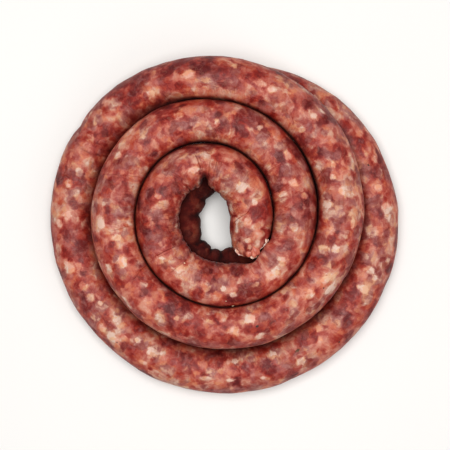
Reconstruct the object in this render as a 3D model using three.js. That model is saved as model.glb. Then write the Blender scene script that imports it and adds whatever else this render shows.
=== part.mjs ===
// A coiled rope sausage: raw, coarsely ground pork in one natural casing, without links, laid down as a
// flat spiral of two levels. It is one piece of food, so it is one solid.
// Millimetres, +Z up. The origin is on the table, under the middle of the coil. Azimuths are in degrees,
// counterclockwise seen from above, and they keep counting from turn to turn along the rope, from the end
// that lies on top in the middle to the end that is hidden on the table below it.
import * as THREE from "three";

// The filled casing
const CASING_RADIUS = 13.9;
const UNEVENNESS = [
  // share of the radius, length of one wave along the rope, phase
  [0.012, 141, 0.4],
  [0.01, 63, 2.1],
  [0.008, 31, 4.0],
];

// The two levels: each is a spiral about its own middle, with one radius for every eighth of a turn
const EIGHTH = 45;
const UPPER = {
  centre: [-4.5, 9.4],
  height: 37,
  firstAzimuth: -90,
  radii: [
    80, 29.6, 20.3, 21.8, 26.7, 32.9, 36, 40.7, 45, 47.9, 46.9, 49, 53.8, 58, 61.2, 64.8, 69, 71.6,
    73.8, 75.7, 79.3, 84.5, 90, 94,
  ],
};
const LOWER = {
  centre: [-0.9, 3.5],
  height: 13,
  firstAzimuth: 765,
  radii: [
    84, 87.5, 92.1, 92.3, 91, 92.1, 93.1, 93.9, 89.6, 80.5, 66, 61, 60.5, 60.5, 60.5, 60, 52, 36.5, 29.6,
    27.6, 30, 31, 28.5, 28.5, 29.5, 30,
  ],
};
const START_AZIMUTH = -52;
const END_AZIMUTH = 1818;

// The stretch where the rope comes down from the upper level to the table
const RAMP_START = 806;
const RAMP_END = 872;

// Neighbouring turns press each other flat, and leave this much room between their skins
const SKIN_GAP = 0.3;
const PRESS_ROUNDING = 0.5;
// Stretches of rope nearer than this along its length are never neighbours
const NEAREST_NEIGHBOUR = 60;
// A neighbour's centre line is looked for within this many radii
const NEIGHBOUR_REACH = 3;
const LONGEST_RAY = 1.4;
const HALVINGS = 18;

// Both ends taper to a blunt cut face over this length
const END_TAPER = 15;
const CUT_FACE_SHARE = 0.3;
const TAPER_POWER = 2.2;

// Creases and narrow stretches of the casing, and one fuller stretch, with a negative depth. The side is
// the angle round the section where each is deepest: 0 faces away from the coil's middle, 90 up, 180 to
// the middle. The slant is how much later along the rope a crease crosses the top than the inner side.
const CREASES = [
  { azimuth: -32, depth: 1.7, halfLength: 16, side: 180, spread: 75, slant: 0 },
  { azimuth: -29, depth: 1.3, halfLength: 3.0, side: 165, spread: 55, slant: 9 },
  { azimuth: 104, depth: 2.6, halfLength: 5.0, side: 175, spread: 60, slant: 2 },
  { azimuth: 866, depth: 1.5, halfLength: 3.2, side: 80, spread: 110, slant: 7 },
  { azimuth: 742, depth: -0.5, halfLength: 45, side: 0, spread: 360, slant: 0 },
  { azimuth: 818, depth: 0.6, halfLength: 40, side: 0, spread: 360, slant: 0 },
];

// Fineness of the solid
const SIDES = 14;
const WIDE_STEP = 5.6;
const TIGHT_STEP = 3.4;
const TIGHT_RADIUS = 50;
const SAMPLE_STEP = 1;
const WALK_PARTS = 40000;
const TABLE_SNAP = 0.001;

const SKYWARD = new THREE.Vector3(0, 0, 1);

// A smooth curve through the radii of one level, at any azimuth.
function radiusAt(level, azimuth) {
  const { radii, firstAzimuth } = level;
  const place = (azimuth - firstAzimuth) / EIGHTH;
  const i = Math.min(Math.max(Math.floor(place), 1), radii.length - 3);
  const t = place - i;
  const [a, b, c, d] = radii.slice(i - 1, i + 3);
  const slopeStart = (c - a) / 2;
  const slopeEnd = (d - b) / 2;
  const square = t * t;
  const cube = square * t;
  return (
    b * (2 * cube - 3 * square + 1) +
    slopeStart * (cube - 2 * square + t) +
    c * (3 * square - 2 * cube) +
    slopeEnd * (cube - square)
  );
}

function pointOnLevel(level, azimuth) {
  const angle = THREE.MathUtils.degToRad(azimuth);
  const radius = radiusAt(level, azimuth);
  return new THREE.Vector3(
    level.centre[0] + radius * Math.cos(angle),
    level.centre[1] + radius * Math.sin(angle),
    level.height,
  );
}

function azimuthAt(share) {
  return THREE.MathUtils.lerp(START_AZIMUTH, END_AZIMUTH, share);
}

// The rope's centre line: the upper spiral, the ramp and the lower spiral.
class CoilLine extends THREE.Curve {
  getPoint(share) {
    const azimuth = azimuthAt(share);
    if (azimuth <= RAMP_START) return pointOnLevel(UPPER, azimuth);
    if (azimuth >= RAMP_END) return pointOnLevel(LOWER, azimuth);
    const down = THREE.MathUtils.smoothstep(azimuth, RAMP_START, RAMP_END);
    return pointOnLevel(UPPER, azimuth).lerp(pointOnLevel(LOWER, azimuth), down);
  }
}

// Stations about one step apart along the line, each with its distance from the line's start. The last
// one stands at the line's very end.
function walk(line, stepAt) {
  const stations = [];
  let last = line.getPoint(0);
  let length = 0;
  let next = 0;
  for (let i = 0; i <= WALK_PARTS; i++) {
    const share = i / WALK_PARTS;
    const point = line.getPoint(share);
    length += point.distanceTo(last);
    last = point;
    if (length >= next) {
      stations.push({ share, point, length });
      next = length + stepAt(azimuthAt(share));
    }
  }
  stations[stations.length - 1] = { share: 1, point: last, length };
  return stations;
}

// Rings stand closer together where the rope turns tightly, round the middle of either level.
function ringStep(azimuth) {
  const level = azimuth < RAMP_END ? UPPER : LOWER;
  return radiusAt(level, azimuth) < TIGHT_RADIUS ? TIGHT_STEP : WIDE_STEP;
}

// The share of its full radius that the rope has at a distance from its nearer end.
function taper(distance) {
  if (distance >= END_TAPER) return 1;
  const away = 1 - Math.max(distance, 0) / END_TAPER;
  const round = Math.pow(1 - Math.pow(away, TAPER_POWER), 1 / TAPER_POWER);
  return CUT_FACE_SHARE + (1 - CUT_FACE_SHARE) * round;
}

// The radius that the casing would have with nothing pressing on it.
function freeRadius(length, total, side, creases) {
  let radius = CASING_RADIUS;
  for (const [share, wave, phase] of UNEVENNESS) {
    radius += CASING_RADIUS * share * Math.sin((2 * Math.PI * length) / wave + phase);
  }
  for (const crease of creases) {
    const round = THREE.MathUtils.euclideanModulo(side - crease.side + 180, 360) - 180;
    const middle = crease.length + crease.slant * Math.sin(THREE.MathUtils.degToRad(side));
    const along = (length - middle) / crease.halfLength;
    const about = round / crease.spread;
    radius -= crease.depth * Math.exp(-along * along - about * about);
  }
  return radius * taper(Math.min(length, total - length));
}

// How far a ray from the centre line may go before its end is deeper in a neighbouring turn than outside
// its own, less the gap. Turns of the same girth meet half way, and a tapered end gives way.
function pressedRadius(station, direction, radius, neighbours) {
  const tip = new THREE.Vector3();
  const room = (reach) => {
    tip.copy(station.point).addScaledVector(direction, reach);
    let nearest = Infinity;
    for (const other of neighbours) nearest = Math.min(nearest, tip.distanceTo(other.point) - other.girth);
    return nearest - SKIN_GAP - (reach - station.girth);
  };
  const farthest = radius * LONGEST_RAY;
  if (!neighbours.length || room(farthest) > 0) return farthest;
  let low = 0;
  let high = farthest;
  for (let i = 0; i < HALVINGS; i++) {
    const middle = (low + high) / 2;
    if (room(middle) > 0) low = middle;
    else high = middle;
  }
  return low;
}

function smoothMinimum(a, b) {
  return -PRESS_ROUNDING * Math.log(Math.exp(-a / PRESS_ROUNDING) + Math.exp(-b / PRESS_ROUNDING));
}

// One ring of points round the centre line: the casing, flattened by its neighbours and by the table.
function ringPoints(line, station, samples, total, creases) {
  const { point, share, length } = station;
  const tangent = line.getTangent(share);
  const outward = new THREE.Vector3().crossVectors(tangent, SKYWARD).normalize();
  const up = new THREE.Vector3().crossVectors(outward, tangent);
  const reach = NEIGHBOUR_REACH * CASING_RADIUS;
  const neighbours = samples
    .filter((other) => Math.abs(other.length - length) > NEAREST_NEIGHBOUR)
    .filter((other) => other.point.distanceTo(point) < reach);
  const ring = [];
  for (let j = 0; j < SIDES; j++) {
    const side = (360 * (j + 0.5)) / SIDES - 90;
    const angle = THREE.MathUtils.degToRad(side);
    const direction = outward.clone().multiplyScalar(Math.cos(angle)).addScaledVector(up, Math.sin(angle));
    const free = freeRadius(length, total, side, creases);
    const pressed = pressedRadius(station, direction, free, neighbours);
    let radius = smoothMinimum(free, pressed);
    if (direction.z < 0) radius = Math.min(radius, point.z / -direction.z);
    const skin = point.clone().addScaledVector(direction, radius);
    if (Math.abs(skin.z) < TABLE_SNAP) skin.z = 0;
    ring.push(skin);
  }
  return ring;
}

// The closed surface: the rings joined by strips, and a fan on each cut face.
function ropeGeometry(rings, firstCentre, lastCentre) {
  const points = rings.flat();
  const first = points.push(firstCentre) - 1;
  const last = points.push(lastCentre) - 1;
  const faces = [];
  const lastRing = (rings.length - 1) * SIDES;
  for (let j = 0; j < SIDES; j++) {
    const k = (j + 1) % SIDES;
    for (let i = 0; i < lastRing; i += SIDES) {
      faces.push(i + j, i + SIDES + k, i + k);
      faces.push(i + j, i + SIDES + j, i + SIDES + k);
    }
    faces.push(first, j, k);
    faces.push(last, lastRing + k, lastRing + j);
  }
  const geometry = new THREE.BufferGeometry().setFromPoints(points);
  geometry.setIndex(faces);
  geometry.computeVertexNormals();
  return geometry;
}

function sausageCoil() {
  const line = new CoilLine();
  const samples = walk(line, () => SAMPLE_STEP);
  const total = samples[samples.length - 1].length;
  const stations = walk(line, ringStep);
  for (const station of [...samples, ...stations]) {
    station.girth = CASING_RADIUS * taper(Math.min(station.length, total - station.length));
  }
  const creases = CREASES.map((crease) => {
    const there = samples.find((sample) => azimuthAt(sample.share) >= crease.azimuth);
    return { ...crease, length: there.length };
  });
  const rings = stations.map((station) => ringPoints(line, station, samples, total, creases));
  const geometry = ropeGeometry(rings, stations[0].point, stations[stations.length - 1].point);
  const meat = new THREE.MeshStandardMaterial({ color: 0xa85a4e, roughness: 0.42, metalness: 0 });
  const mesh = new THREE.Mesh(geometry, meat);
  mesh.name = "sausage_coil";
  return mesh;
}

const sausage = new THREE.Group();
sausage.add(sausageCoil());

export default sausage;
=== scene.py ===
"""Dresses the coiled rope sausage: coarse raw pork in a moist natural casing, on a pale table.

Lengths are millimetres along and round the rope, and MM turns them into Blender's metres. Azimuths are
in degrees, counterclockwise from above, counting on from turn to turn along the rope. The side is the
angle round its section: 0 faces away from the coil's middle, 90 up and 180 to the middle.
"""
import math
import random

import bmesh
import bpy
import numpy as np
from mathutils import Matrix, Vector, noise
from mathutils.bvhtree import BVHTree


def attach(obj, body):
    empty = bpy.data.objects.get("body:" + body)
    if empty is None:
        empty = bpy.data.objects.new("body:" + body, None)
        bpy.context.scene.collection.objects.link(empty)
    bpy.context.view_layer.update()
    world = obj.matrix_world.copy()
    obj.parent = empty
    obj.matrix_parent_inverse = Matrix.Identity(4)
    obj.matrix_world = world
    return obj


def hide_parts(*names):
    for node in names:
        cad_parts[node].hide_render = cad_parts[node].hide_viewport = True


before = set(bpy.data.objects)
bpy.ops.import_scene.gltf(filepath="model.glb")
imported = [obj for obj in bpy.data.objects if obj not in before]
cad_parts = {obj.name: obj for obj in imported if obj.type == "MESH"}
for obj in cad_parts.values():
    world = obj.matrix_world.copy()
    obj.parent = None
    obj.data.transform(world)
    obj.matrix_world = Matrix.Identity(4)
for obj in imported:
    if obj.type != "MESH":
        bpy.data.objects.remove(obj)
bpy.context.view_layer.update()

MM = 0.001
NODE = "sausage_coil"
BODY = "root"

# The rope, as in the solid
CASING_RADIUS = 13.9
UNEVENNESS = [(0.012, 141, 0.4), (0.01, 63, 2.1), (0.008, 31, 4.0)]
EIGHTH = 45
UPPER = {
    "centre": (-4.5, 9.4),
    "height": 37,
    "first_azimuth": -90,
    "radii": [
        80, 29.6, 20.3, 21.8, 26.7, 32.9, 36, 40.7, 45, 47.9, 46.9, 49, 53.8, 58, 61.2, 64.8, 69, 71.6,
        73.8, 75.7, 79.3, 84.5, 90, 94,
    ],
}
LOWER = {
    "centre": (-0.9, 3.5),
    "height": 13,
    "first_azimuth": 765,
    "radii": [
        84, 87.5, 92.1, 92.3, 91, 92.1, 93.1, 93.9, 89.6, 80.5, 66, 61, 60.5, 60.5, 60.5, 60, 52, 36.5,
        29.6, 27.6, 30, 31, 28.5, 28.5, 29.5, 30,
    ],
}
START_AZIMUTH = -52
END_AZIMUTH = 1818
RAMP_START = 806
RAMP_END = 872
SKIN_GAP = 0.3
PRESS_ROUNDING = 0.5
NEAREST_NEIGHBOUR = 60
NEIGHBOUR_REACH = 3
END_TAPER = 15
CUT_FACE_SHARE = 0.3
TAPER_POWER = 2.2
CREASES = [
    {"azimuth": -32, "depth": 1.7, "half_length": 16.0, "side": 180, "spread": 75, "slant": 0},
    {"azimuth": -37, "depth": 0.9, "half_length": 2.4, "side": 165, "spread": 55, "slant": 9},
    {"azimuth": 104, "depth": 2.6, "half_length": 5.0, "side": 175, "spread": 60, "slant": 2},
    {"azimuth": 866, "depth": 1.5, "half_length": 3.2, "side": 80, "spread": 110, "slant": 7},
    {"azimuth": 742, "depth": -0.5, "half_length": 45, "side": 0, "spread": 360, "slant": 0},
    {"azimuth": 818, "depth": 0.6, "half_length": 40, "side": 0, "spread": 360, "slant": 0},
]

# Fineness of the casing's mesh
SIDES = 66
TIGHT_STEP = 0.8
WIDE_STEP = 1.5
TIGHT_RADIUS = 50
WALK_PARTS = 40000
PRESS_STEP = 2.0
HALVINGS = 16

# What the solid is too coarse for: the depth of the notch in the innermost turn, small creases, and, with
# a negative depth, fuller places that close gaps between the soft turns
FINE_CREASES = [
    {"azimuth": 104, "depth": 4.2, "half_length": 2.6, "side": 178, "spread": 46, "slant": 0},
    {"azimuth": 112, "depth": 0.5, "half_length": 0.8, "side": 120, "spread": 50, "slant": -1},
    {"azimuth": 101, "depth": 0.5, "half_length": 0.8, "side": 125, "spread": 50, "slant": -2},
    {"azimuth": 93, "depth": 0.5, "half_length": 0.8, "side": 125, "spread": 50, "slant": -3},
    {"azimuth": 868, "depth": 0.8, "half_length": 1.0, "side": 100, "spread": 95, "slant": 8},
    {"azimuth": 872, "depth": 0.5, "half_length": 0.9, "side": 110, "spread": 80, "slant": 7},
    {"azimuth": 322, "depth": -3.2, "half_length": 13, "side": 140, "spread": 42, "slant": 0},
    {"azimuth": 14, "depth": -1.1, "half_length": 16, "side": 0, "spread": 60, "slant": 0},
    {"azimuth": 374, "depth": -1.1, "half_length": 22, "side": 180, "spread": 60, "slant": 0},
]

# Gathers of the casing on the inner side of tight turns: first and last azimuth, mean distance between
# gathers, depth, half length and spread round the section
GATHERS = [
    (25, 340, 13.0, 0.6, 1.8, 40),
    (15, 330, 5.5, 0.35, 0.9, 34),
    (330, 700, 11.0, 0.3, 1.2, 34),
    (880, 1150, 12.0, 0.25, 1.2, 30),
    (1540, 1810, 17.0, 1.5, 3.0, 62),
    (1540, 1810, 9.0, 0.3, 1.2, 55),
]

# Lumps of meat that show through the casing: wave length and height
LUMPS = [(17, 0.42), (8.5, 0.26), (4.2, 0.12)]

# Pieces of fat that stand out in the photo: place in its pixels, length along the rope and width across
FAT_PIECES = [
    (248, 221, 5, 5), (237, 229, 3.5, 3.5), (259.5, 235, 4, 4.5), (248, 240, 3, 4),
    (241, 250, 4.5, 5), (231.5, 209.5, 7, 4), (235, 219.5, 4.5, 5), (255, 201, 5, 3.5),
    (249.5, 247.5, 3.5, 3.5), (221.8, 317, 8.5, 7.5), (120.8, 262.5, 7, 6), (115, 238, 4, 7),
    (101.3, 224.6, 5, 5), (293, 182, 6, 5.5), (283.5, 194, 4, 7), (304.6, 196.4, 3.5, 5),
    (303, 206, 5, 2.5), (261, 127.5, 3, 4.5), (287.4, 154.5, 6, 5), (260, 82, 9, 4),
    (272.5, 89, 5, 5.5), (315, 116, 4, 4), (324, 112, 4.5, 2.5), (303.5, 129.2, 4.5, 5),
    (333.9, 165.4, 4.5, 3.5), (331.6, 176.9, 4, 4), (342.5, 192.3, 6, 3.5), (327.6, 203.8, 6, 8),
    (352.3, 222.2, 6.5, 3), (374.6, 159, 5, 5), (378, 189, 5, 6), (387, 207, 7, 7),
    (241, 189.5, 7, 6.5), (232.3, 133.8, 4, 8), (194.6, 170.5, 7, 5), (157.9, 195.8, 4, 4.5),
    (216.5, 123.5, 3.5, 5), (177.4, 115.4, 6, 5), (117.7, 156.8, 4.5, 5), (100.5, 222, 5, 4),
    (79.8, 171.7, 5.5, 5.5), (70.7, 182, 5, 5), (68.4, 215.3, 5.5, 4.5), (149.9, 95.9, 5, 6),
    (187.8, 74, 7, 5), (59.9, 224.6, 5, 5), (69.7, 268.2, 7, 7), (84, 285.4, 6, 6),
    (89.8, 298, 5.5, 5.5), (100.9, 302.7, 3.5, 3.5), (115, 317.6, 3.5, 5), (101.3, 326.8, 5.5, 5.5),
    (111.6, 338.2, 7, 5.5), (138, 341.5, 4.5, 3), (152.9, 352, 8, 7), (142.6, 362.3, 5, 4),
    (175.9, 318.2, 3, 4.5), (205.7, 285.4, 7, 6), (180.5, 269.4, 5, 6), (158.7, 261.3, 5, 5),
    (205.7, 378.4, 8, 3.5), (274, 274, 8.5, 7), (283.1, 261.3, 5.5, 6), (293.5, 226.9, 5.5, 6),
    (326.2, 278.5, 5.5, 5), (330, 289, 8, 3.5), (310.7, 293.5, 6.5, 5.5), (334.8, 248.7, 5, 4.5),
    (323.3, 248.7, 6, 7), (371.5, 231.5, 8, 8), (363.5, 288.9, 5, 7), (368, 270.5, 5, 7),
    (319.9, 327.9, 5.5, 5.5), (256.7, 284.3, 5.5, 3), (233.8, 294.6, 4, 3.5), (222.3, 288.9, 3, 3),
    (234.9, 331.4, 7, 7), (249.8, 319.9, 7, 6), (259, 336, 6, 5), (270.5, 355.5, 6.5, 5.5),
    (300.4, 361.2, 6, 5), (231.5, 379.6, 7, 2.5), (236, 360, 4, 4), (263.6, 378.4, 3, 2.5),
    (375.6, 277.4, 3.5, 3.5),
]

# Dark lean pieces that stand out, in the same way
LEAN_PIECES = [
    (346, 155.6, 12, 6), (296.6, 156.8, 5, 4.5), (375.8, 213, 6, 8), (371.2, 179.7, 5, 8),
    (362, 140.7, 7, 4), (333.3, 121.2, 5, 5), (265.6, 202.7, 6, 5.5), (245, 135, 7, 6),
    (118.9, 98.2, 7, 6), (106.2, 109.7, 6, 5), (188.9, 128, 4, 3.5), (153.3, 153.3, 6, 6),
    (73, 203.8, 4.5, 6), (105.1, 210.7, 5, 6), (164.8, 120, 6, 5), (202.7, 71.8, 4, 5),
    (218.7, 114.3, 5, 5), (80.6, 247.6, 8, 12), (112.7, 243, 4, 6), (85.2, 307.2, 8, 6),
    (107, 311.8, 5, 6), (144.9, 314.1, 6, 4), (188.5, 256.7, 5, 4), (171.3, 298, 12, 8),
    (266, 262.5, 5, 9), (288.9, 243, 7, 11), (318.7, 305, 6, 4), (346.3, 318.7, 9, 10),
    (232.6, 368, 6, 5), (246.4, 368, 5, 6), (311.8, 266, 5, 6), (323.3, 260.2, 6, 8),
    (233.8, 269.4, 6, 5), (284.3, 298, 7, 4), (151.8, 369.2, 4, 3),
]

# Lumps of ground meat under the thin casing of the open end, and the hollow between them: place in the
# photo's pixels, then the length along the rope, the width across and the height, in millimetres
END_LUMPS = [
    (259.5, 234.5, 9.5, 8.4, 1.2), (240, 248, 9.0, 7.5, 0.9), (244, 234, 8.0, 6.5, 0.4),
    (253.5, 243.5, 5.2, 4.6, -1.5),
]

# The next turn is fuller beside that end, in the same way, but sideways rather than upward
FULLER = [(265.5, 252, 22, 17, 3.4)]
SIDEWAYS = (1, 1, 0.15)

# The end is cut back slantwise, along a line between two pixels of the photo. The cut fades out between
# two lengths along the rope.
END_CUT = ((267.8, 240.5), (259.2, 251.0))
CUT_FADE = (10, 16)
CUT_ROUNDING = 1.0

# Bare meat and fat that stand out of that end
END_LEAN = [(255.2, 250.4, 7.4, 6.4, 0.8), (248, 252.3, 5.4, 5.0, 0.45)]
END_FAT = [(253.4, 255.8, 3.2, 5.0, 1.1), (237.4, 251.5, 2.4, 2.8, 0.6), (265.8, 240.5, 3.6, 1.5, 0.4)]

# The torn rim of the casing at that end, as pixels of the photo
LIPS = [
    [(267.2, 238.5), (267.0, 241.5), (265.0, 244.5), (262.2, 247.6), (259.8, 249.8)],
    [(235.6, 249), (237, 252), (239.6, 254.4), (243, 255.6)],
]

# Wrinkles of the casing, as lines between two pixels of the photo, with half width in millimetres and the
# darkness of the painted shade along each
WRINKLES = [
    (194.1, 154.7, 203.4, 173.5, 0.5, 0.8), (199, 156, 204.5, 175, 0.4, 0.55),
    (205.5, 163, 206, 174, 0.35, 0.45), (210, 161.2, 208.7, 176, 0.45, 0.65),
    (217.9, 159.9, 213.5, 177.5, 0.4, 0.65), (222.1, 161.2, 216.5, 178, 0.4, 0.5),
    (232.8, 223.6, 250.2, 209, 0.5, 0.8), (169.2, 171.6, 184.8, 181.2, 0.4, 0.5),
    (105.6, 174, 141.6, 178.8, 0.5, 0.5), (111, 178, 139, 181.6, 0.35, 0.35),
    (161.4, 93, 168, 99.8, 0.5, 0.6), (191, 88, 194.6, 95, 0.4, 0.5),
    (155.4, 255.5, 175.8, 245.3, 0.5, 0.85), (158, 258, 172, 251, 0.35, 0.4),
    (133.3, 280.1, 146, 266.5, 0.45, 0.6), (169, 273.3, 184.3, 261.4, 0.4, 0.5),
    (194.5, 283.5, 199.6, 266.5, 0.35, 0.4), (112.9, 231.7, 130, 225.8, 0.45, 0.5),
    (145.2, 222.3, 169, 218.9, 0.4, 0.45), (146.9, 200.2, 175.8, 207, 0.35, 0.4),
    (287.8, 184.2, 272.5, 194.4, 0.35, 0.4), (265.7, 172.3, 282.7, 163.8, 0.45, 0.5),
    (289.5, 111.1, 292.9, 126.4, 0.45, 0.45), (236.8, 119.6, 236.8, 134.9, 0.4, 0.4),
    (315, 180.8, 325.2, 167.2, 0.6, 0.6), (231, 359, 240, 373, 0.35, 0.45),
    (235, 358, 244, 371, 0.35, 0.35),
]

# Half widths to the nearest wrinkle, where there is none
FAR_AWAY = 9

# Bare meat and fat at the hidden end: distance from its face and side, then the three sizes
HIDDEN_LEAN = [(2.0, 60, 5, 5, 1.2), (2.5, 190, 6, 5, 1.0), (1.5, 300, 5, 4, 1.1), (5.0, 110, 7, 6, 0.6)]
HIDDEN_FAT = [(1.2, 130, 3, 3, 0.9), (3.0, 10, 4, 3, 0.6)]

# Ground pepper, one fragment of a herb and a few crumbs, as pixels of the photo, with length and width
PEPPER = [
    (257.3, 326.2, 2.1, 1.5), (367.8, 164.6, 1.6, 1.3),
    (117.3, 342.3, 1.0, 0.8), (322.7, 288.9, 1.1, 0.9),
]
HERBS = [(298.4, 349.8, 4.4, 1.7)]
CRUMBS = [(233.2, 305.6, 1.7, 1.3), (184.3, 262.8, 1.1, 0.9), (226.3, 301.3, 0.9, 0.7)]
# Specks on the hidden stretch: how many, where along the rope as shares, on which sides, and sizes
HIDDEN_PEPPER = 12
HIDDEN_STRETCH = (0.45, 0.98)
HIDDEN_SIDES = (-80, 60)
HIDDEN_SIZES = (0.8, 1.8)

# How far a hollow place looks round for the meat that keeps the light out, and with how many rays
SHADE_REACH = 16
SHADE_RAYS = 40
SHADE_STEP = 4.0
SHADE_SIDES = 33

# How much light from the side counts against light from above, and what meat at full reach sends back
SIDE_LIGHT = 0.4
SENT_BACK = 0.3

# A crease this deep loses this share of the light
DEEP_CREASE = 2.5
CREASE_SHADE = 0.45

# The lower turns round the open middle lie in a well, where less light comes down
WELL_RADIUS = 45
WELL_EDGE = 6
WELL_SHADE = 0.55
WELL_TOP = 36
WELL_SLOPE = 8

# The outermost lower turn gets more light from the side
LOW_LIGHT = 0.45

# The camera looks straight down, as in the photo
PHOTO_SIZE = 450
PHOTO_PIXEL = 0.6
PHOTO_LEVEL = 36
CAMERA_HEIGHT = 900
CAMERA_PLACE = (0.3, 1.0)
SENSOR = 36

# The skin seen at a pixel is at most this much lower than the highest skin this many pixels round it
SEEN_DEPTH = 2.5
SEEN_AROUND = 2


# The centre line

def radius_at(level, azimuth):
    """A smooth curve through the radii of one level, at any azimuths."""
    radii = np.asarray(level["radii"], float)
    place = (np.asarray(azimuth, float) - level["first_azimuth"]) / EIGHTH
    i = np.clip(np.floor(place), 1, len(radii) - 3).astype(int)
    t = place - i
    a, b, c, d = radii[i - 1], radii[i], radii[i + 1], radii[i + 2]
    square = t * t
    cube = square * t
    return (
        b * (2 * cube - 3 * square + 1)
        + (c - a) / 2 * (cube - 2 * square + t)
        + c * (3 * square - 2 * cube)
        + (d - b) / 2 * (cube - square)
    )


def point_on_level(level, azimuth):
    angle = np.radians(azimuth)
    radius = radius_at(level, azimuth)
    x = level["centre"][0] + radius * np.cos(angle)
    y = level["centre"][1] + radius * np.sin(angle)
    return np.stack([x, y, np.full_like(x, level["height"])], -1)


def smoothstep(value, low, high):
    share = np.clip((value - low) / (high - low), 0, 1)
    return share * share * (3 - 2 * share)


def coil_point(azimuth):
    down = smoothstep(azimuth, RAMP_START, RAMP_END)[..., None]
    return point_on_level(UPPER, azimuth) * (1 - down) + point_on_level(LOWER, azimuth) * down


def turn_radius(azimuth):
    return np.where(azimuth < RAMP_END, radius_at(UPPER, azimuth), radius_at(LOWER, azimuth))


def unit(vectors):
    return vectors / np.linalg.norm(vectors, axis=-1, keepdims=True)


class Rope:
    """The centre line by its length, with the directions round it."""

    def __init__(self):
        self.azimuth = np.linspace(START_AZIMUTH, END_AZIMUTH, WALK_PARTS + 1)
        self.point = coil_point(self.azimuth)
        steps = np.linalg.norm(np.diff(self.point, axis=0), axis=1)
        self.length = np.concatenate([[0], np.cumsum(steps)])
        self.total = self.length[-1]

    def azimuth_at(self, length):
        return np.interp(length, self.length, self.azimuth)

    def length_at(self, azimuth):
        return float(np.interp(azimuth, self.azimuth, self.length))

    def frame_at(self, length):
        azimuth = self.azimuth_at(length)
        point = coil_point(azimuth)
        tangent = unit(coil_point(azimuth + 0.3) - coil_point(azimuth - 0.3))
        outward = unit(np.cross(tangent, (0, 0, 1)))
        return point, tangent, outward, np.cross(outward, tangent)

    def ring_lengths(self):
        """Places of the rings: close together where the rope turns tightly."""
        step = np.where(turn_radius(self.azimuth) < TIGHT_RADIUS, TIGHT_STEP, WIDE_STEP)
        parts = np.concatenate([[0], np.cumsum(np.diff(self.length) / step[1:])])
        count = int(parts[-1])
        return np.interp(np.linspace(0, parts[-1], count + 1), parts, self.length)


# The casing's surface

def taper(distance):
    away = 1 - np.clip(distance, 0, END_TAPER) / END_TAPER
    rounded = (1 - away ** TAPER_POWER) ** (1 / TAPER_POWER)
    return CUT_FACE_SHARE + (1 - CUT_FACE_SHARE) * rounded


def girth_at(rope, length):
    return CASING_RADIUS * taper(np.minimum(length, rope.total - length))


def directions_round(outward, up, sides):
    angle = np.radians(sides)[None, :, None]
    return outward[:, None] * np.cos(angle) + up[:, None] * np.sin(angle)


def pressed_limits(rope, lengths, sides):
    """How far each ray may go before it is deeper in a neighbouring turn than outside its own."""
    samples = np.arange(0, rope.total, 1.0)
    sample_points = coil_point(rope.azimuth_at(samples))
    sample_girths = girth_at(rope, samples)
    point, tangent, outward, up = rope.frame_at(lengths)
    girths = girth_at(rope, lengths)
    rays = directions_round(outward, up, sides)
    farthest = CASING_RADIUS * 1.5
    limits = np.full((len(lengths), len(sides)), farthest)
    for i, length in enumerate(lengths):
        gap = np.linalg.norm(sample_points - point[i], axis=1)
        near = (gap < NEIGHBOUR_REACH * CASING_RADIUS) & (np.abs(samples - length) > NEAREST_NEIGHBOUR)
        if not near.any():
            continue
        others = sample_points[near]
        other_girths = sample_girths[near]
        low = np.zeros(len(sides))
        high = np.full(len(sides), farthest)
        for _ in range(HALVINGS):
            middle = (low + high) / 2
            tips = point[i] + rays[i] * middle[:, None]
            reach = np.linalg.norm(tips[:, None] - others[None], axis=2) - other_girths
            room = reach.min(1) - SKIN_GAP - (middle - girths[i])
            low = np.where(room > 0, middle, low)
            high = np.where(room > 0, high, middle)
        limits[i] = low
    return limits


def crease_depth(rope, crease, lengths, sides):
    middle = rope.length_at(crease["azimuth"]) + crease["slant"] * np.sin(np.radians(sides))
    along = (lengths - middle) / crease["half_length"]
    about = ((sides - crease["side"] + 180) % 360 - 180) / crease["spread"]
    return crease["depth"] * np.exp(-along ** 2 - about ** 2)


def gathers(rope):
    """The small creases between the gathers of the casing, unevenly spaced."""
    draw = random.Random(11)
    found = []
    for first, last, pitch, depth, half_length, spread in GATHERS:
        place = rope.length_at(first)
        end = rope.length_at(last)
        while place < end:
            found.append({
                "azimuth": float(rope.azimuth_at(place)),
                "depth": depth * draw.uniform(0.45, 1.25),
                "half_length": half_length * draw.uniform(0.7, 1.3),
                "side": 180 + draw.uniform(-14, 14),
                "spread": spread * draw.uniform(0.75, 1.2),
                "slant": draw.uniform(-2.5, 2.5),
            })
            place += pitch * draw.uniform(0.55, 1.5)
    return found


def lump_height(skin):
    """Uneven meat under the casing."""
    height = np.zeros(len(skin))
    for wave, amount in LUMPS:
        height += [amount * noise.noise(Vector(place) / wave) for place in skin]
    return height


def smooth_minimum(a, b):
    return -PRESS_ROUNDING * np.logaddexp(-a / PRESS_ROUNDING, -b / PRESS_ROUNDING)


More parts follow.
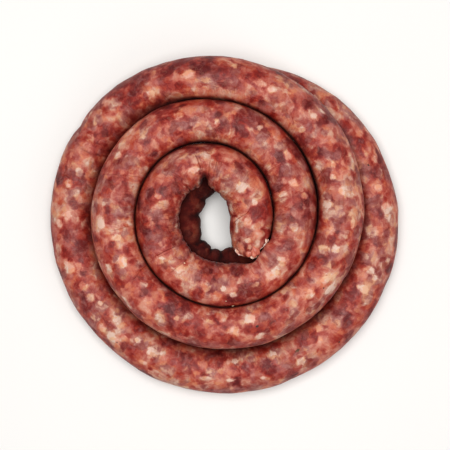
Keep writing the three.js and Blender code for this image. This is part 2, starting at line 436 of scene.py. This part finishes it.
class Surface:
    """The casing's points, ring by ring, and where they lie along and round the rope."""

    def __init__(self, rope):
        self.rope = rope
        self.lengths = rope.ring_lengths()
        self.sides = 360 * (np.arange(SIDES) + 0.5) / SIDES - 90
        self.creases = np.zeros((len(self.lengths), SIDES))
        self.points = self.shape()
        self.raise_lumps(END_LUMPS)
        self.cut_back(*END_CUT)
        self.raise_lumps(FULLER, SIDEWAYS)

    def free_radius(self, point, rays):
        lengths = self.lengths[:, None]
        sides = self.sides[None, :]
        radius = np.full((len(self.lengths), SIDES), CASING_RADIUS)
        for share, wave, phase in UNEVENNESS:
            radius += CASING_RADIUS * share * np.sin(2 * np.pi * lengths / wave + phase)
        for crease in CREASES:
            radius -= crease_depth(self.rope, crease, lengths, sides)
        for crease in FINE_CREASES + gathers(self.rope):
            self.creases += crease_depth(self.rope, crease, lengths, sides)
        skin = point[:, None] + rays * CASING_RADIUS
        radius += lump_height(skin.reshape(-1, 3)).reshape(radius.shape) - self.creases
        self.creases = np.maximum(self.creases, 0)
        return radius * taper(np.minimum(lengths, self.rope.total - lengths))

    def shape(self):
        point, tangent, outward, up = self.rope.frame_at(self.lengths)
        rays = directions_round(outward, up, self.sides)
        coarse = np.arange(0, self.rope.total + PRESS_STEP, PRESS_STEP)
        limits = pressed_limits(self.rope, coarse, self.sides)
        columns = [np.interp(self.lengths, coarse, limits[:, j]) for j in range(SIDES)]
        radius = smooth_minimum(self.free_radius(point, rays), np.stack(columns, 1))
        falling = np.minimum(rays[..., 2], -1e-6)
        table = np.where(rays[..., 2] < 0, point[:, None, 2] / -falling, np.inf)
        radius = np.minimum(radius, table)
        return point[:, None] + rays * radius[..., None]

    def under(self, x, y):
        """The ring and side of the skin that the camera sees at a pixel of the photo."""
        pixel = PHOTO_PIXEL * (CAMERA_HEIGHT - self.points[..., 2]) / (CAMERA_HEIGHT - PHOTO_LEVEL)
        right = (self.points[..., 0] - CAMERA_PLACE[0]) / pixel + PHOTO_SIZE / 2 - x
        down = PHOTO_SIZE / 2 - (self.points[..., 1] - CAMERA_PLACE[1]) / pixel - y
        away = right ** 2 + down ** 2
        top = self.points[..., 2][away < SEEN_AROUND ** 2].max()
        away = np.where(self.points[..., 2] > top - SEEN_DEPTH, away, np.inf)
        return np.unravel_index(int(np.argmin(away)), away.shape)

    def nearest(self, length, side):
        """The ring and side nearest to a place along and round the rope."""
        i = int(np.abs(self.lengths - length).argmin())
        j = int(np.abs((self.sides - side + 180) % 360 - 180).argmin())
        return i, j

    def normal(self, i, j):
        centre = self.rope.frame_at(self.lengths[i:i + 1])[0][0]
        return unit(self.points[i, j] - centre)

    def raise_lumps(self, places, ways=(1, 1, 1)):
        """Pushes rounded lumps out of the skin, or hollows into it."""
        for x, y, long, wide, height in places:
            i, j = self.under(x, y)
            rise = height * smoothstep(self.inside(i, j, long, wide), -0.25, 0.75)
            centres = self.rope.frame_at(self.lengths)[0]
            outward = unit(self.points - centres[:, None])
            self.points = self.points + outward * ways * rise[..., None]

    def cut_back(self, first, second):
        """Pulls the skin of the open end back to a line between two pixels of the photo."""
        middle = PHOTO_SIZE / 2
        start, end = [
            np.array([x - middle, middle - y]) * PHOTO_PIXEL + CAMERA_PLACE for x, y in (first, second)
        ]
        along = unit(end - start)
        beyond = (self.points[..., :2] - start) @ (-along[1], along[0])
        pull = (beyond + np.sqrt(beyond ** 2 + CUT_ROUNDING)) / 2
        pull = pull * (1 - smoothstep(self.lengths, *CUT_FADE))[:, None]
        self.points[..., 0] += along[1] * pull
        self.points[..., 1] -= along[0] * pull

    def inside(self, i, j, long, wide):
        """How far inside an oval on the skin each point lies: 1 at its middle, 0 at its edge."""
        along = (self.lengths - self.lengths[i]) * 2 / long
        about = np.radians((self.sides - self.sides[j] + 180) % 360 - 180) * CASING_RADIUS * 2 / wide
        return 1 - np.sqrt(along[:, None] ** 2 + about[None, :] ** 2)

    def pieces(self, places):
        """How far inside the nearest piece each skin point lies: 1 at its middle, 0 at its edge."""
        inside = np.full(self.points.shape[:2], -1.0)
        for x, y, long, wide in places:
            i, j = self.under(x, y)
            inside = np.maximum(inside, self.inside(i, j, long, wide))
        return inside

    def flat_place(self, x, y):
        """Where a pixel of the photo lies on the straightened rope, seen from above."""
        i, j = self.under(x, y)
        return np.array([self.lengths[i], CASING_RADIUS * math.cos(math.radians(self.sides[j]))])

    def gathered(self):
        """How much the casing is gathered: most on the inner side of the tightest turns."""
        radius = turn_radius(self.rope.azimuth_at(self.lengths))[:, None]
        tight = np.clip((95 - radius) / 80, 0.4, 0.75)
        inner = 0.5 - 0.5 * np.cos(np.radians(self.sides))[None]
        return tight * (0.25 + 0.75 * inner ** 1.5)

    def wrinkles(self):
        """The nearest wrinkle of each skin point: how many half widths away it is, and the darkness of
        its painted shade.

        The distance changes its sign at each wrinkle, so that it is nought only there.
        """
        across = CASING_RADIUS * np.cos(np.radians(self.sides))[None]
        upper_side = np.sin(np.radians(self.sides))[None] > -0.3
        found = np.zeros(self.points.shape)
        found[..., 0] = FAR_AWAY
        nearest = np.full(self.points.shape[:2], 4.0)
        for k, (x1, y1, x2, y2, width, darkness) in enumerate(WRINKLES):
            first = self.flat_place(x1, y1)
            step = self.flat_place(x2, y2) - first
            span = math.hypot(*step)
            away = self.lengths[:, None] - first[0], across - first[1]
            share = (away[0] * step[0] + away[1] * step[1]) / span ** 2
            gap = (away[0] * step[1] - away[1] * step[0]) / span
            ends = smoothstep(share, -0.15, 0.1) * (1 - smoothstep(share, 0.9, 1.15))
            here = (ends > 0) & (np.abs(gap) < nearest) & upper_side
            nearest = np.where(here, np.abs(gap), nearest)
            side = 1 - 2 * (k % 2)
            found[..., 0] = np.where(here, side * gap / width, found[..., 0])
            found[..., 1] = np.where(here, darkness * ends, found[..., 1])
        return found

    def openness(self):
        """The share of the light round each skin point that the rest of the coil lets through."""
        lengths = np.arange(0, self.rope.total + SHADE_STEP, SHADE_STEP)
        rings = np.abs(self.lengths[None] - lengths[:, None]).argmin(1)
        columns = np.arange(0, SIDES, SIDES // SHADE_SIDES)
        coarse = self.points[rings][:, columns]
        faces = tube_faces(len(rings), len(columns))
        centres = self.rope.frame_at(self.lengths[rings])[0]
        points = np.concatenate([coarse.reshape(-1, 3), centres[:1], centres[-1:]])
        tree = BVHTree.FromPolygons(points.tolist(), faces)
        normals = unit(coarse - centres[:, None])
        rays = [Vector(ray) for ray in even_rays(SHADE_RAYS)]
        found = np.zeros(coarse.shape[:2])
        for i in range(found.shape[0]):
            for j in range(found.shape[1]):
                normal = Vector(normals[i, j])
                start = Vector(coarse[i, j]) + normal * 0.6
                found[i, j] = open_share(tree, start, normal, rays)
        wrapped = np.concatenate([found, found[:, :1]], 1)
        sides = np.append(columns, SIDES)
        along = np.stack([np.interp(self.lengths, self.lengths[rings], w) for w in wrapped.T], 1)
        smooth = np.stack([np.interp(np.arange(SIDES), sides, row) for row in along])
        smooth = smooth * (1 - CREASE_SHADE * np.clip(self.creases / DEEP_CREASE, 0, 1))
        below = np.clip((WELL_TOP - self.points[..., 2]) / WELL_SLOPE, 0, 1)
        away = np.linalg.norm(self.points[..., :2] - UPPER["centre"], axis=-1)
        middle = 1 - smoothstep(away, WELL_RADIUS - WELL_EDGE, WELL_RADIUS + WELL_EDGE)
        smooth = smooth ** (1 - LOW_LIGHT * below * (1 - middle))
        return smooth * (1 - WELL_SHADE * below * middle)

    def rope_coordinates(self):
        """Length, across and up in the straightened rope, for each vertex."""
        shape = self.points.shape[:2]
        length = np.broadcast_to(self.lengths[:, None], shape)
        angle = np.radians(self.sides)[None]
        across = np.broadcast_to(CASING_RADIUS * np.cos(angle), shape)
        upward = np.broadcast_to(CASING_RADIUS * np.sin(angle), shape)
        return np.stack([length, across, upward], -1).reshape(-1, 3)


def even_rays(count):
    """Directions spread evenly over the whole sphere."""
    k = np.arange(count) + 0.5
    height = 1 - 2 * k / count
    angle = np.pi * (1 + 5 ** 0.5) * k
    across = np.sqrt(1 - height ** 2)
    return np.stack([across * np.cos(angle), across * np.sin(angle), height], -1).tolist()


def open_share(tree, start, normal, rays):
    total = 0.0
    free = 0.0
    for ray in rays:
        weight = ray.dot(normal)
        if weight <= 0.02:
            continue
        weight *= SIDE_LIGHT + (1 - SIDE_LIGHT) * max(ray.z, 0)
        total += weight
        hit = tree.ray_cast(start, ray, SHADE_REACH)
        if hit[0] is None:
            free += weight
        else:
            free += weight * SENT_BACK * hit[3] / SHADE_REACH
    return free / total


def tube_faces(rings, sides):
    """Quads between the rings, and a fan of triangles on each end; the end points come last."""
    j = np.arange(sides)
    k = (j + 1) % sides
    start = (np.arange(rings - 1) * sides)[:, None]
    quads = np.stack([start + j, start + sides + j, start + sides + k, start + k], -1)
    faces = quads.reshape(-1, 4).tolist()
    first = rings * sides
    last_ring = (rings - 1) * sides
    for a, b in zip(j.tolist(), k.tolist()):
        faces.append((first, a, b))
        faces.append((first + 1, last_ring + b, last_ring + a))
    return faces


def new_piece(name, points, faces, material):
    """A smooth-shaded mesh that rides on the coil's body. Points are in millimetres."""
    mesh = bpy.data.meshes.new(name)
    above_table = np.maximum(points, (-np.inf, -np.inf, 0))
    mesh.from_pydata((above_table * MM).tolist(), [], faces)
    mesh.polygons.foreach_set("use_smooth", [True] * len(mesh.polygons))
    mesh.materials.append(material)
    mesh.update()
    piece = bpy.data.objects.new(name, mesh)
    bpy.context.scene.collection.objects.link(piece)
    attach(piece, BODY)
    return piece


def add_vector_attribute(piece, name, values):
    attribute = piece.data.attributes.new(name, "FLOAT_VECTOR", "POINT")
    attribute.data.foreach_set("vector", np.asarray(values, np.float32).ravel())


def add_value_attribute(piece, name, values):
    attribute = piece.data.attributes.new(name, "FLOAT", "POINT")
    attribute.data.foreach_set("value", np.asarray(values, np.float32).ravel())


# Materials

def srgb(red, green, blue):
    """A colour as it looks on a screen, from 0 to 255, as the shader's own linear numbers."""
    shares = [c / 255 for c in (red, green, blue)]
    return tuple(c / 12.92 if c <= 0.04045 else ((c + 0.055) / 1.055) ** 2.4 for c in shares) + (1.0,)


class Nodes:
    """Adds nodes to one material; an input is a number, a colour or another node's output."""

    def __init__(self, name):
        self.material = bpy.data.materials.new(name)
        self.material.use_nodes = True
        self.tree = self.material.node_tree
        self.tree.nodes.clear()

    def add(self, kind, inputs, **settings):
        node = self.tree.nodes.new(kind)
        for key, value in settings.items():
            setattr(node, key, value)
        for key, value in inputs.items():
            if isinstance(value, bpy.types.NodeSocket):
                self.tree.links.new(value, node.inputs[key])
            else:
                node.inputs[key].default_value = value
        return node

    def attribute(self, name):
        return self.add("ShaderNodeAttribute", {}, attribute_name=name)

    def math(self, operation, a, b=0.0, clamp=False):
        return self.add("ShaderNodeMath", {0: a, 1: b}, operation=operation, use_clamp=clamp).outputs[0]

    def vector_math(self, operation, a, b=(0, 0, 0)):
        return self.add("ShaderNodeVectorMath", {0: a, 1: b}, operation=operation).outputs[0]

    def scaled(self, vector, factor):
        node = self.add("ShaderNodeVectorMath", {0: vector, "Scale": factor}, operation="SCALE")
        return node.outputs[0]

    def noise(self, vector, scale, detail=2.0, roughness=0.5, distortion=0.0):
        return self.add("ShaderNodeTexNoise", {
            "Vector": vector,
            "Scale": scale,
            "Detail": detail,
            "Roughness": roughness,
            "Distortion": distortion,
        })

    def cells(self, vector, scale, smoothness):
        inputs = {"Vector": vector, "Scale": scale, "Smoothness": smoothness, "Randomness": 1.0}
        return self.add("ShaderNodeTexVoronoi", inputs, feature="SMOOTH_F1")

    def parts(self, colour):
        return self.add("ShaderNodeSeparateColor", {0: colour}).outputs

    def ramp(self, value, stops, interpolation="LINEAR"):
        node = self.add("ShaderNodeValToRGB", {0: value})
        ramp = node.color_ramp
        ramp.interpolation = interpolation
        while len(ramp.elements) < len(stops):
            ramp.elements.new(0.5)
        for element, (position, colour) in zip(ramp.elements, stops):
            element.position = position
            element.color = colour
        return node.outputs[0]

    def range(self, value, low, high, to_low=0.0, to_high=1.0):
        ends = {"From Min": low, "From Max": high, "To Min": to_low, "To Max": to_high}
        node = self.add("ShaderNodeMapRange", {"Value": value, **ends}, interpolation_type="SMOOTHSTEP")
        return node.outputs[0]

    def mix(self, factor, a, b, blend="MIX"):
        node = self.add("ShaderNodeMix", {}, data_type="RGBA", blend_type=blend)
        for index, value in ((0, factor), (6, a), (7, b)):
            if isinstance(value, bpy.types.NodeSocket):
                self.tree.links.new(value, node.inputs[index])
            else:
                node.inputs[index].default_value = value
        return node.outputs[2]

    def tinted(self, colour, tint):
        return self.mix(1.0, colour, tint, "MULTIPLY")

    def total(self, parts, start):
        """The sum of several values, each times its weight."""
        sum_so_far = start
        for value, weight in parts:
            inputs = {0: value, 1: weight, 2: sum_so_far}
            sum_so_far = self.add("ShaderNodeMath", inputs, operation="MULTIPLY_ADD").outputs[0]
        return sum_so_far

    def bump(self, height, strength, distance, normal=None):
        inputs = {"Height": height, "Strength": strength, "Distance": distance}
        if normal is not None:
            inputs["Normal"] = normal
        return self.add("ShaderNodeBump", inputs).outputs[0]

    def finish(self, shader_inputs):
        shader = self.add("ShaderNodeBsdfPrincipled", shader_inputs)
        self.add("ShaderNodeOutputMaterial", {"Surface": shader.outputs[0]})
        return self.material


# The meat's colours in the casing, from the darkest lean to the palest fat
DARK_LEAN = srgb(110, 28, 27)
DEEP_LEAN = srgb(135, 42, 36)
RED_LEAN = srgb(158, 66, 55)
LEAN = srgb(173, 94, 79)
BLUSH = srgb(187, 117, 99)
PEACH = srgb(199, 140, 117)
CREAM = srgb(204, 160, 139)
PALE_FAT = srgb(221, 187, 168)
MEAT_STOPS = [
    (0.08, DARK_LEAN),
    (0.26, DEEP_LEAN),
    (0.4, RED_LEAN),
    (0.52, LEAN),
    (0.62, BLUSH),
    (0.74, PEACH),
    (0.87, CREAM),
    (1.0, PALE_FAT),
]

# What multiplies them in single pieces, the painted shade in wrinkles and in creases, and the milky film,
# partly painted sheen, over some
PURPLE_TINT = srgb(209, 203, 222)
RED_TINT = srgb(255, 218, 212)
ORANGE_TINT = srgb(255, 233, 206)
WRINKLE_SHADE_TINT = srgb(172, 104, 96)
CREASE_SHADE_TINT = srgb(150, 80, 70)
MILKY_FILM_AND_SHEEN = srgb(184, 123, 119)
BARE_ORANGE = srgb(206, 116, 88)

# Small things without the casing, each in a dark, a middle and a pale tone
RAW_LEAN = [srgb(168, 74, 58), srgb(198, 106, 84), srgb(218, 148, 122)]
RAW_FAT = [srgb(214, 150, 122), srgb(232, 186, 160), srgb(240, 210, 190)]
TORN_CASING = [srgb(196, 140, 126), srgb(222, 184, 170), srgb(240, 222, 212)]
BLACK_PEPPER = [srgb(40, 16, 14), srgb(60, 26, 22), srgb(92, 50, 38)]
DRIED_HERB = [srgb(62, 32, 14), srgb(90, 50, 26), srgb(118, 74, 42)]
CRUMB = [srgb(196, 150, 110), srgb(224, 188, 150), srgb(240, 216, 186)]


def meat_in_casing():
    n = Nodes("meat_in_casing")
    place = n.attribute("rope").outputs["Vector"]
    swirl = n.noise(place, 0.13, 2.0).outputs["Color"]
    ragged = n.noise(place, 0.42, 3.0, 0.6).outputs["Color"]
    bent = n.vector_math("ADD", place, n.scaled(n.vector_math("SUBTRACT", swirl, (0.5,) * 3), 5.0))
    torn = n.vector_math("ADD", bent, n.scaled(n.vector_math("SUBTRACT", ragged, (0.5,) * 3), 3.0))

    # Coarse and fine pieces of meat and fat, in soft clouds of both
    coarse = n.parts(n.cells(torn, 0.16, 0.8).outputs["Color"])
    small = n.parts(n.cells(torn, 0.34, 0.72).outputs["Color"])
    clouds = n.noise(torn, 0.26, 5.0, 0.56).outputs[0]
    broad = n.noise(place, 0.055, 2.0).outputs[0]
    along = n.add("ShaderNodeMapping", {0: bent, "Scale": (0.2, 1.1, 1.1)}).outputs[0]
    across = n.add("ShaderNodeMapping", {0: bent, "Scale": (1.2, 0.22, 0.22)}).outputs[0]
    either = n.range(coarse[2], 0.42, 0.58)
    along = n.noise(along, 1.0, 3.0, 0.6).outputs[0]
    across = n.noise(across, 1.0, 3.0, 0.6).outputs[0]
    tone = n.total([
        (coarse[0], 0.57),
        (small[0], 0.38),
        (clouds, 0.68),
        (broad, 0.85),
        (n.mix(either, along, across), 0.33),
    ], -0.882)

    # The pieces that stand out in the photo
    ripple = n.math("SUBTRACT", clouds, 0.5)
    fat = n.total([(n.attribute("fat_piece").outputs["Fac"], 1.0), (ripple, 1.3)], 0.0)
    fat = n.range(fat, -0.3, 0.42)
    lean = n.total([(n.attribute("lean_piece").outputs["Fac"], 1.0), (ripple, 1.6)], 0.0)
    lean = n.range(lean, -0.3, 0.5)
    tone = n.total([(tone, 1.0), (fat, 0.47), (lean, -0.3)], 0.0)
    colour = n.ramp(tone, MEAT_STOPS)

    # Purplish and orange pieces, milky film with painted sheen and pale threads of gristle
    lean_share = n.range(tone, 0.6, 0.85, 1.0, 0.15)
    purple = n.math("MULTIPLY", n.range(coarse[1], 0.5, 0.72, 0.0, 0.9), lean_share)
    colour = n.mix(purple, colour, n.tinted(colour, PURPLE_TINT))
    red = n.range(coarse[1], 0.28, 0.5, 0.85, 0.0)
    colour = n.mix(red, colour, n.tinted(colour, RED_TINT))
    orange = n.range(small[2], 0.45, 0.75, 0.0, 0.9)
    colour = n.mix(orange, colour, n.tinted(colour, ORANGE_TINT))
    # The milky film: partly the casing's own milky look, partly painted sheen
    film_and_sheen = n.range(n.noise(bent, 0.14, 4.0, 0.62).outputs[0], 0.5, 0.74, 0.0, 0.4)
    film_and_sheen = n.math("MULTIPLY", film_and_sheen, lean_share)
    colour = n.mix(film_and_sheen, colour, MILKY_FILM_AND_SHEEN)
    threads = n.noise(bent, 0.22, 3.0, 0.5, 0.6).outputs[0]
    threads = n.range(n.math("ABSOLUTE", n.math("SUBTRACT", threads, 0.52)), 0.0, 0.05, 0.16, 0.0)
    colour = n.mix(n.math("MULTIPLY", threads, small[1]), colour, PEACH)
    # Painted shade along the casing's wrinkles; the same lines also bump the normal further down
    lines, tightness = wrinkle_lines(n, place, swirl)
    lines = n.math("MULTIPLY", lines, tightness)
    lines = n.math("MAXIMUM", lines, single_wrinkles(n, swirl))
    colour = n.mix(lines, colour, n.tinted(colour, WRINKLE_SHADE_TINT))
    # Painted shade in the creases, darker where they are deeper
    crease = n.range(n.attribute("crease").outputs["Fac"], 0.15, 1.1, 0.0, 0.75)
    colour = n.mix(crease, colour, n.tinted(colour, CREASE_SHADE_TINT))

    bare = n.math("ADD", n.attribute("bare_meat").outputs["Fac"], n.math("MULTIPLY", ripple, 1.2))
    bare = n.range(bare, 0.0, 0.5, 0.0, 0.75)
    colour = n.mix(bare, colour, n.ramp(clouds, [(0.35, LEAN), (0.5, BARE_ORANGE), (0.65, PEACH)]))

    # The shade between the turns, which is redder than it is dark
    openness = n.range(n.attribute("openness").outputs["Fac"], 0.0, 1.02, 0.5, 1.0)
    shade = n.add("ShaderNodeCombineColor", {
        0: n.math("POWER", openness, 3.3),
        1: n.math("POWER", openness, 5.7),
        2: n.math("POWER", openness, 6.3),
    }).outputs[0]
    colour = n.tinted(colour, shade)

    normal = n.bump(tone, 0.3, 0.0008)
    normal = n.bump(n.math("MULTIPLY", lines, -1.0), 0.5, 0.0006, normal)
    fine = n.noise(place, 1.8, 3.0, 0.6).outputs[0]
    normal = n.bump(fine, 0.12, 0.0003, normal)
    roughness = n.range(n.noise(place, 0.3, 3.0).outputs[0], 0.25, 0.75, 0.42, 0.62)
    roughness = n.math("MAXIMUM", roughness, n.range(openness, 0.55, 0.92, 0.95, 0.4))
    return n.finish({
        "Base Color": colour,
        "Roughness": roughness,
        "Normal": normal,
        "Specular IOR Level": 0.22,
        "Subsurface Weight": 0.1,
        "Subsurface Radius": (1.0, 0.3, 0.2),
        "Subsurface Scale": 0.002,
    })


def wrinkle_lines(n, place, swirl):
    """Fine hatching of painted shade across the rope, in the small folds where the casing is gathered on
    the inner side of a turn.
    """
    leaning = n.add("ShaderNodeMapping", {0: place, "Scale": (0.95, 0.07, 0.07)}).outputs[0]
    x, y, z = n.add("ShaderNodeSeparateXYZ", {0: leaning}).outputs
    x = n.math("SUBTRACT", x, n.math("MULTIPLY", y, 4.75))
    leaning = n.add("ShaderNodeCombineXYZ", {0: x, 1: y, 2: z}).outputs[0]
    leaning = n.vector_math("ADD", leaning, n.scaled(swirl, 2.0))
    lines = n.noise(leaning, 1.0, 2.0, 0.55).outputs[0]
    lines = n.range(n.math("ABSOLUTE", n.math("SUBTRACT", lines, 0.5)), 0.0, 0.08, 1.0, 0.0)
    patches = n.range(n.noise(place, 0.07, 2.0).outputs[0], 0.38, 0.62, 0.1, 0.75)
    return lines, n.math("MULTIPLY", patches, n.attribute("gathered").outputs["Fac"])


def single_wrinkles(n, swirl):
    """The painted shade of the wrinkles that stand out in the photo."""
    wrinkle = n.attribute("wrinkle").outputs["Vector"]
    gap, darkness, _ = n.add("ShaderNodeSeparateXYZ", {0: wrinkle}).outputs
    waver = n.math("SUBTRACT", n.parts(swirl)[0], 0.5)
    gap = n.math("ABSOLUTE", n.math("ADD", gap, n.math("MULTIPLY", waver, 2.5)))
    return n.math("MULTIPLY", n.range(gap, 0.0, 1.0, 1.0, 0.0), darkness)


def plain_meat(name, tones, scale, roughness, soft=0.12):
    """Bare ground meat or fat, without the casing, or a speck, which lets no light in."""
    n = Nodes(name)
    place = n.scaled(n.add("ShaderNodeTexCoord", {}).outputs["Object"], 1 / MM)
    clouds = n.noise(place, scale, 4.0, 0.6).outputs[0]
    colour = n.ramp(clouds, list(zip((0.3, 0.5, 0.7), tones)))
    normal = n.bump(clouds, 0.4, 0.0004)
    return n.finish({
        "Base Color": colour,
        "Roughness": roughness,
        "Normal": normal,
        "Subsurface Weight": soft,
        "Subsurface Radius": (1.0, 0.4, 0.3),
        "Subsurface Scale": 0.0015,
    })


def table_top():
    n = Nodes("table_top")
    place = n.add("ShaderNodeTexCoord", {}).outputs["Object"]
    cloudy = n.noise(place, 3.0, 3.0).outputs[0]
    colour = n.mix(cloudy, srgb(232, 230, 226), srgb(237, 235, 232))
    return n.finish({"Base Color": colour, "Roughness": 0.6})


# The pieces

def sausage(surface):
    rings = len(surface.lengths)
    ends = surface.rope.frame_at(np.array([0.0, surface.rope.total]))[0]
    points = np.concatenate([surface.points.reshape(-1, 3), ends])
    piece = new_piece("sausage_casing", points, tube_faces(rings, SIDES), meat_in_casing())
    places = surface.rope_coordinates()
    places = np.concatenate([places, [[0, 0, 0], [surface.rope.total, 0, 0]]])
    add_vector_attribute(piece, "rope", places)
    add_value_attribute(piece, "gathered", np.append(surface.gathered(), [0, 0]))
    add_value_attribute(piece, "fat_piece", np.append(surface.pieces(FAT_PIECES), [-1, -1]))
    add_value_attribute(piece, "lean_piece", np.append(surface.pieces(LEAN_PIECES), [-1, -1]))
    add_value_attribute(piece, "openness", np.append(surface.openness(), [1, 1]))
    bare = surface.pieces([lump[:4] for lump in END_LUMPS if lump[4] > 0.5])
    add_value_attribute(piece, "bare_meat", np.append(bare, [1, 1]))
    add_value_attribute(piece, "crease", np.append(surface.creases, [0, 0]))
    wrinkles = surface.wrinkles().reshape(-1, 3)
    add_vector_attribute(piece, "wrinkle", np.append(wrinkles, [[FAR_AWAY, 0, 0]] * 2, 0))
    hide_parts(NODE)
    return piece


class Small:
    """Gathers many small bodies into the mesh of one piece."""

    def __init__(self, name, material):
        self.name = name
        self.material = material
        self.points = []
        self.faces = []
        self.count = 0

    def add(self, points, faces):
        self.faces += [[i + self.count for i in face] for face in faces]
        self.points.append(points)
        self.count += len(points)

    def build(self):
        return new_piece(self.name, np.concatenate(self.points), self.faces, self.material)


def ball(fineness):
    """Points and faces of a ball of radius 1."""
    shape = bmesh.new()
    bmesh.ops.create_icosphere(shape, subdivisions=fineness, radius=1)
    points = np.array([tuple(v.co) for v in shape.verts])
    faces = [[v.index for v in face.verts] for face in shape.faces]
    shape.free()
    return points, faces


def lump(surface, ring, side, sizes, unevenness, fineness, seed):
    """A rounded, uneven body sunk into the skin; its height is how far it stands out."""
    long, wide, height = sizes
    skin = surface.points[ring, side]
    normal = surface.normal(ring, side)
    along = surface.rope.frame_at(surface.lengths[ring:ring + 1])[1][0]
    across = unit(np.cross(normal, along))
    along = np.cross(across, normal)
    points, faces = ball(fineness)
    rough = [noise.noise(Vector(p) * 1.3 + Vector((seed * 7.3, 0, 0))) for p in points]
    rough = 1 + unevenness * np.array(rough)[:, None]
    points = points * rough
    thick = max(height, 0.3 * min(long, wide))
    place = points * (long / 2, wide / 2, thick)
    centre = skin + normal * (height - thick)
    return centre + place @ np.stack([along, across, normal]), faces


def smooth_path(points, count):
    """A smooth curve through a few points."""
    points = np.array(points)
    places = np.linspace(0, len(points) - 1, count)
    i = np.clip(places.astype(int), 0, len(points) - 2)
    t = (places - i)[:, None]
    a, b = points[i], points[i + 1]
    before = points[np.maximum(i - 1, 0)]
    after = points[np.minimum(i + 2, len(points) - 1)]
    square = t * t
    cube = square * t
    return (
        a * (2 * cube - 3 * square + 1)
        + (b - before) / 2 * (cube - 2 * square + t)
        + b * (3 * square - 2 * cube)
        + (after - a) / 2 * (cube - square)
    )


def lip(surface, path, seed):
    """A thin, curled strip of torn casing that stands up a little from the skin."""
    spots = [surface.under(x, y) for x, y in path]
    skin = smooth_path([surface.points[spot] for spot in spots], 28)
    normals = unit(smooth_path([surface.normal(*spot) for spot in spots], 28))
    forward = unit(np.gradient(skin, axis=0))
    across = unit(np.cross(normals, forward))
    angles = np.linspace(0, 2 * np.pi, 10, endpoint=False)
    rings = []
    for k in range(len(skin)):
        share = k / (len(skin) - 1)
        end = min(1, 6 * min(share, 1 - share) + 0.15)
        ragged = 1 + 0.5 * noise.noise(Vector((share * 9, seed * 3.1, 0)))
        high = 0.75 * end * ragged
        thick = 0.2 * end
        curl = across[k] * 0.35 * noise.noise(Vector((share * 5, 0, seed * 2.7)))
        centre = skin[k] + normals[k] * 0.35 * end + curl
        for angle in angles:
            rings.append(centre + normals[k] * high * np.sin(angle) - across[k] * thick * np.cos(angle))
    points = np.concatenate([rings, [skin[0]], [skin[-1]]])
    return points, tube_faces(len(skin), len(angles))


def cut_ends(surface):
    """Ground meat and fat that bulge from both cut ends, and the torn rim of the casing."""
    lean = Small("end_lean", plain_meat("raw_lean", RAW_LEAN, 0.4, 0.42))
    fat = Small("end_fat", plain_meat("raw_fat", RAW_FAT, 0.4, 0.42))
    lips = Small("casing_lips", plain_meat("casing_lip", TORN_CASING, 0.6, 0.3))
    for piece, shown, hidden in ((lean, END_LEAN, HIDDEN_LEAN), (fat, END_FAT, HIDDEN_FAT)):
        for seed, (x, y, *sizes) in enumerate(shown):
            ring, side = surface.under(x, y)
            piece.add(*lump(surface, ring, side, sizes, 0.3, 4, seed + 1))
        for seed, (distance, side, *sizes) in enumerate(hidden):
            ring, side = surface.nearest(surface.rope.total - distance, side)
            piece.add(*lump(surface, ring, side, sizes, 0.3, 3, seed + 20))
    for seed, path in enumerate(LIPS):
        lips.add(*lip(surface, path, seed + 1))
    for piece in (lean, fat, lips):
        piece.build()


def specks(surface):
    """Ground pepper, the herb and the crumbs, which lie on the skin or just under it."""
    pepper = Small("pepper_specks", plain_meat("pepper", BLACK_PEPPER, 1.2, 0.6, 0.0))
    herbs = Small("herb_fragment", plain_meat("herb", DRIED_HERB, 0.9, 0.6, 0.0))
    crumbs = Small("crumbs", plain_meat("crumb", CRUMB, 1.0, 0.5))
    for piece, places in ((pepper, PEPPER), (herbs, HERBS), (crumbs, CRUMBS)):
        for seed, (x, y, long, wide) in enumerate(places):
            ring, side = surface.under(x, y)
            piece.add(*lump(surface, ring, side, (long, wide, 0.16 * wide), 0.5, 3, seed + 40))
    draw = random.Random(5)
    for seed in range(HIDDEN_PEPPER):
        length = surface.rope.total * draw.uniform(*HIDDEN_STRETCH)
        ring, side = surface.nearest(length, draw.uniform(*HIDDEN_SIDES))
        size = draw.uniform(*HIDDEN_SIZES)
        pepper.add(*lump(surface, ring, side, (size, 0.8 * size, 0.12 * size), 0.5, 2, seed + 60))
    for piece in (pepper, herbs, crumbs):
        piece.build()


# Camera, light and table

def photo_camera():
    camera = bpy.data.objects.new("camera", bpy.data.cameras.new("camera"))
    bpy.context.scene.collection.objects.link(camera)
    camera.location = (CAMERA_PLACE[0] * MM, CAMERA_PLACE[1] * MM, CAMERA_HEIGHT * MM)
    camera.data.sensor_width = SENSOR
    camera.data.lens = SENSOR * (CAMERA_HEIGHT - PHOTO_LEVEL) / (PHOTO_SIZE * PHOTO_PIXEL)
    camera.data.clip_start = 0.01
    bpy.context.scene.camera = camera


def soft_box(name, place, size, power):
    light = bpy.data.objects.new(name, bpy.data.lights.new(name, "AREA"))
    light.data.shape = "SQUARE"
    light.data.size = size
    light.data.energy = power
    light.location = place
    light.rotation_euler = Vector(place).to_track_quat("Z", "Y").to_euler()
    bpy.context.scene.collection.objects.link(light)


def studio():
    soft_box("main_light", (-0.06, 0.1, 1.5), 0.9, 23.2)
    soft_box("fill_light", (0.9, -0.5, 1.2), 1.0, 3)
    world = bpy.data.worlds.new("studio")
    world.use_nodes = True
    sky = world.node_tree.nodes["Background"]
    sky.inputs["Color"].default_value = (1, 1, 1, 1)
    sky.inputs["Strength"].default_value = 0.2
    bpy.context.scene.world = world
    bpy.context.scene.view_settings.view_transform = "Standard"


def table():
    bpy.ops.mesh.primitive_circle_add(vertices=96, radius=3.0, fill_type="NGON")
    floor = bpy.context.object
    floor.name = "table"
    floor.data.materials.append(table_top())


def main():
    photo_camera()
    studio()
    table()
    rope = Rope()
    surface = Surface(rope)
    sausage(surface)
    cut_ends(surface)
    specks(surface)


main()
